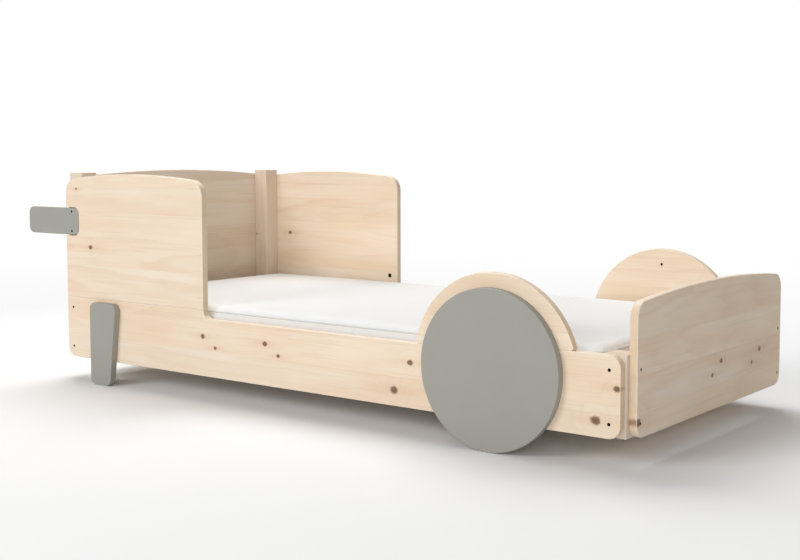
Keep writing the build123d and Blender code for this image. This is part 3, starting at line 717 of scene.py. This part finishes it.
def rounded_plan(half_length, half_width, corner, bow, step):
    """Points and outward ways round a rectangle with round corners, its sides drawn in by the bow."""
    points = []
    a, b = half_length - corner, half_width - corner
    for turn, (cx, cy) in enumerate(((a, b), (-a, b), (-a, -b), (a, -b))):
        for part in range(9):
            angle = math.radians(90 * turn + 90 * part / 8)
            way = Vector((math.cos(angle), math.sin(angle)))
            points.append((Vector((cx, cy)) + way * corner, way))
        run = (2 * a, 2 * b)[turn % 2]
        count = int(run / step)
        start, way = points[-1]
        across = Vector((-way.y, way.x))
        for part in range(1, count):
            share = part / count
            drawn = bow * math.sin(math.pi * share)
            points.append((start + across * run * share - way * drawn, way))
    return points


def mattress_shell(low, high):
    """A closed box with round corners and rounded rims, a little smaller than the mattress."""
    middle = (low + high) / 2
    half = (high - low) / 2
    rim = COVER_RIM
    profile = []
    for part in range(7):
        angle = math.radians(15 * part)
        profile.append((rim * (1 - math.sin(angle)), low.z + rim * (1 - math.cos(angle))))
    for part in range(7):
        angle = math.radians(15 * part)
        profile.append((rim * (1 - math.cos(angle)), high.z - rim * (1 - math.sin(angle))))
    shell = bmesh.new()
    rings = []
    for inset, z in profile:
        plan = rounded_plan(half.x - inset, half.y - inset, COVER_CORNER, 0.002, 0.02)
        rings.append([shell.verts.new((middle.x + p.x, middle.y + p.y, z)) for p, _ in plan])
    size = min(len(ring) for ring in rings)
    for below, above in zip(rings, rings[1:]):
        for n in range(size):
            m = (n + 1) % size
            shell.faces.new((below[n], below[m], above[m], above[n]))
    shell.faces.new(list(reversed(rings[0])))
    shell.faces.new(rings[-1])
    mesh = bpy.data.meshes.new("mattress_shell")
    shell.to_mesh(mesh)
    shell.free()
    return new_object("mattress_shell", mesh)


def settle(piece):
    """Fill the cover with pressure so that it swells and puckers as a stuffed cover does."""
    modifier = piece.modifiers.new("swell", "CLOTH")
    settings = modifier.settings
    settings.quality = 5
    settings.mass = 0.4
    settings.tension_stiffness = 25
    settings.compression_stiffness = 25
    settings.bending_stiffness = 2.0
    settings.use_pressure = True
    settings.uniform_pressure_force = 4
    settings.effector_weights.gravity = 0
    modifier.point_cache.frame_start = 1
    modifier.point_cache.frame_end = SETTLE_FRAMES
    scene = bpy.context.scene
    for number in range(1, SETTLE_FRAMES + 1):
        scene.frame_set(number)
    swollen = baked(piece, "mattress_swollen", remove=False)
    scene.frame_set(1)
    piece.modifiers.remove(modifier)
    return swollen


def capped(distance, most):
    return most * math.tanh(distance / most) if distance > 0 else distance


def mattress_cover(cover_cloth):
    """The mattress: swollen by a cloth simulation, crowned on top and flat where it rests."""
    low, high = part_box("mattress")
    inside_low = low + Vector((SWELL_ROOM, SWELL_ROOM, 0.001))
    inside_high = high - Vector((SWELL_ROOM, SWELL_ROOM, 0.008 - COVER_RISE))
    shell = mattress_shell(inside_low, inside_high)
    remesh = shell.modifiers.new("even", "REMESH")
    remesh.mode = "VOXEL"
    remesh.voxel_size = 0.014
    piece = baked(shell, "mattress_evened")
    swollen = settle(piece)
    for vertex, moved in zip(piece.data.vertices, swollen.data.vertices):
        shift = moved.co - vertex.co
        for axis, most in ((0, 0.0015), (1, 0.0015), (2, 0.005)):
            step = shift[axis]
            shift[axis] = math.copysign(capped(abs(step), most), step)
        vertex.co = vertex.co + shift
    bpy.data.objects.remove(swollen)
    finer = piece.modifiers.new("finer", "SUBSURF")
    finer.levels = finer.render_levels = 1
    piece = baked(piece, "mattress_cover")
    middle = (low + high) / 2
    half = (high - low) / 2
    seam_top = high.z + COVER_RISE - SEAM_FROM_EDGE
    seam_low = low.z + SEAM_FROM_EDGE
    for vertex in piece.data.vertices:
        co = vertex.co
        share_x = abs(co.x - middle.x) / half.x
        share_y = abs(co.y - middle.y) / half.y
        share_z = (co.z - low.z) / (high.z - low.z)
        if share_z > 0.6:
            crown = (1 - share_x**2) * (1 - share_y**2)
            dents = noise.noise(Vector((co.x * 3.5, co.y * 3.5, 1.3)))
            co.z += 0.0022 * crown + 0.0009 * dents * min(1.0, 4 * crown)
        edge = max(share_x * half.x - half.x, share_y * half.y - half.y) + PUCKER_REACH
        near_seam = sum(
            math.exp(-(((co.z - seam) / PUCKER_REACH) ** 2)) for seam in (seam_top, seam_low)
        )
        if edge > 0:
            along = co.x if share_y * half.y - half.y > share_x * half.x - half.x else co.y
            pucker = noise.noise(Vector((along * 34, co.z * 9, 7.7)))
            way = Vector((0, math.copysign(1, co.y - middle.y), 0))
            if along == co.y:
                way = Vector((math.copysign(1, co.x - middle.x), 0, 0))
            co -= way * (0.0009 * (1 + pucker)) * near_seam
        co.z = max(co.z, low.z + 0.0004)
    shade_smooth(piece.data)
    piece.data.materials.clear()
    piece.data.materials.append(cover_cloth)
    return piece


def seam_line(piece, z, out, step=0.008):
    """A closed line round the cover at a height, lifted off it by that much."""
    tree = BVHTree.FromPolygons(
        [vertex.co for vertex in piece.data.vertices], [tuple(face.vertices) for face in piece.data.polygons]
    )
    low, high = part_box("mattress")
    middle = (low + high) / 2
    half = (high - low) / 2
    points = []
    for flat, way in rounded_plan(half.x, half.y, COVER_CORNER, 0.0, step):
        start = Vector((middle.x + flat.x, middle.y + flat.y, z)) + Vector((*way, 0)) * 0.03
        hit = tree.ray_cast(start, Vector((-way.x, -way.y, 0)))[0]
        if hit is not None:
            points.append(hit + Vector((*way, 0)) * out)
    return points


def dress_mattress():
    white = cloth("mattress_knit", linear(250, 250, 249), linear(232, 232, 230), 0.0016, 0.0001)
    edging = cloth("mattress_edging", linear(240, 240, 238), linear(208, 208, 205), 0.0009, 0.00012)
    thread = cloth("sewing_thread", linear(247, 247, 245), linear(214, 214, 212), 0.0005, 0.00004)
    cover = mattress_cover(white)
    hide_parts("mattress")
    low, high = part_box("mattress")
    pieces = [cover]
    stitches = stitches_pattern(thread)
    seams = (
        ("top", high.z + COVER_RISE - SEAM_FROM_EDGE, -STITCH_OFFSET),
        ("bottom", low.z + SEAM_FROM_EDGE, STITCH_OFFSET),
    )
    for name, z, offset in seams:
        cord_line = closed_line(f"edging_line_{name}", seam_line(cover, z, EDGING_LIFT))
        cord_line.data.bevel_depth = EDGING_RADIUS
        cord_line.data.bevel_resolution = 3
        edge = baked(cord_line, f"mattress_edging_{name}")
        edge.data.materials.clear()
        edge.data.materials.append(edging)
        shade_smooth(edge.data)
        row = closed_line(f"stitch_line_{name}", seam_line(cover, z + offset, STITCH_LIFT))
        sewn = stitches.make(row, f"mattress_stitches_{name}", Spacing=0.0062, Length=0.0040, Width=0.0008)
        pieces += [edge, sewn]
    for piece in pieces:
        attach(piece, "mattress")


# ---- slat fixings ----

SCREW_FROM_END = 0.017
SCREW_OFFSET = 0.018


def slat_screws(zinc):
    """Two screws at each end of every slat, into the ledgers."""
    spots = []
    for number in range(SLAT_COUNT):
        low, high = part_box(f"bed_slat_{number + 1:02d}")
        middle = (low.x + high.x) / 2
        for y in (low.y + SCREW_FROM_END, high.y - SCREW_FROM_END):
            for x in (middle - SCREW_OFFSET, middle + SCREW_OFFSET):
                spots.append((x, y, high.z + 0.0001))
    mesh = bpy.data.meshes.new("slat_screw_spots")
    mesh.from_pydata(spots, [], [])
    points = new_object("slat_screw_spots", mesh)
    heads = screws_pattern(zinc).make(points, "slat_screws", Radius=0.0040, Depth=0.0024)
    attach(heads, "bed_frame")


# ---- room, lamps and camera ----

# The photograph's size, and where its lens points, in its own pixels
IMAGE_WIDTH = 800
IMAGE_HEIGHT = 560
FOCAL_PIXELS = 1230.30
AXIS_COLUMN = 428.71
AXIS_ROW = 245.74
SENSOR_WIDTH = 36
CAMERA_PLACE = (2.4170, -2.9701, 0.7322)
CAMERA_DIP = 0.0742
CAMERA_TURN = 0.6428

# Strengths of the lamps and the room, and the floor as it lights the bed and as it is seen
ROOM_LIGHT = 0.24
FLOOR_GREY = 0.80
FLOOR_SEEN = 1.0
HEAD_LAMP = 355
FOOT_LAMP = 225
BACK_LAMP = 165


def seen_directly(bench):
    """1 for what the camera sees, straight or through gloss or glass."""
    path = bench.lay("ShaderNodeLightPath").outputs
    seen = bench.sum("MAXIMUM", path["Is Camera Ray"], path["Is Glossy Ray"])
    return bench.sum("MAXIMUM", seen, path["Is Transmission Ray"])


def build_room():
    world = bpy.data.worlds.new("white_room")
    bpy.context.scene.world = world
    world.use_nodes = True
    bench = Bench(world.node_tree)
    world.node_tree.nodes.clear()
    strength = bench.sum("MULTIPLY_ADD", seen_directly(bench), 1.0 - ROOM_LIGHT, ROOM_LIGHT)
    back = bench.lay("ShaderNodeBackground", {"Color": (1.0, 1.0, 1.0, 1.0), "Strength": strength})
    bench.lay("ShaderNodeOutputWorld", {"Surface": back.outputs[0]})

    mesh = bpy.data.meshes.new("studio_floor")
    reach = 30.0
    low = -0.0004
    mesh.from_pydata(
        [(-reach, -reach, low), (reach, -reach, low), (reach, reach, low), (-reach, reach, low)],
        [],
        [(0, 1, 2, 3)],
    )
    floor = new_object("studio_floor", mesh)
    material = bpy.data.materials.new("studio_floor")
    material.use_nodes = True
    material.node_tree.nodes.clear()
    bench = Bench(material.node_tree)
    place = bench.lay("ShaderNodeTexCoord").outputs["Object"]
    away = bench.lay("ShaderNodeVectorMath", {0: bench.stretch(place, 0.85, 1.0, 0.0)}, operation="LENGTH")
    far = bench.sum("MULTIPLY", bench.rise(away.outputs["Value"], 1.3, 2.4), seen_directly(bench))
    grey = bench.tint(seen_directly(bench), (*[FLOOR_GREY] * 3, 1.0), (*[FLOOR_SEEN] * 3, 1.0))
    matt = bench.lay("ShaderNodeBsdfDiffuse", {"Color": grey})
    bright = bench.rise(away.outputs["Value"], 2.2, 5.0, 0.95, 1.0)
    white = bench.lay("ShaderNodeEmission", {"Color": (1.0, 1.0, 1.0, 1.0), "Strength": bright})
    mixed = bench.lay("ShaderNodeMixShader", {0: far, 1: matt.outputs[0], 2: white.outputs[0]})
    bench.lay("ShaderNodeOutputMaterial", {"Surface": mixed.outputs[0]})
    mesh.materials.append(material)


def area_lamp(name, place, target, size, power):
    lamp = bpy.data.lights.new(name, "AREA")
    lamp.shape = "RECTANGLE"
    lamp.size, lamp.size_y = size
    lamp.energy = power
    holder = new_object(name, lamp)
    holder.location = place
    holder.rotation_euler = (Vector(target) - Vector(place)).to_track_quat("-Z", "Y").to_euler()


def build_lamps():
    area_lamp("lamp_head_side", (-3.0, -9.0, 4.5), (0.1, -0.3, 0.2), (5.0, 3.0), HEAD_LAMP)
    area_lamp("lamp_foot_side", (4.5, -7.5, 2.4), (0.1, -0.3, 0.2), (5.0, 3.0), FOOT_LAMP)
    area_lamp("lamp_behind", (-1.6, 1.4, 4.2), (0.0, 0.0, 0.0), (4.0, 3.0), BACK_LAMP)


def build_camera():
    camera = bpy.data.cameras.new("camera")
    camera.lens = FOCAL_PIXELS / IMAGE_WIDTH * SENSOR_WIDTH
    camera.sensor_width = SENSOR_WIDTH
    camera.sensor_fit = "HORIZONTAL"
    camera.shift_x = (IMAGE_WIDTH / 2 - AXIS_COLUMN) / IMAGE_WIDTH
    camera.shift_y = (AXIS_ROW - IMAGE_HEIGHT / 2) / IMAGE_WIDTH
    holder = new_object("camera", camera)
    holder.location = CAMERA_PLACE
    holder.rotation_euler = (math.pi / 2 - CAMERA_DIP, 0, CAMERA_TURN)
    bpy.context.scene.camera = holder


# ---- the bed in its room ----

bpy.context.scene.view_settings.view_transform = "Standard"
dress_wood()
zinc = dress_paint_and_metal()
dress_mattress()
slat_screws(zinc)
build_room()
build_lamps()
build_camera()

bpy.context.view_layer.update()
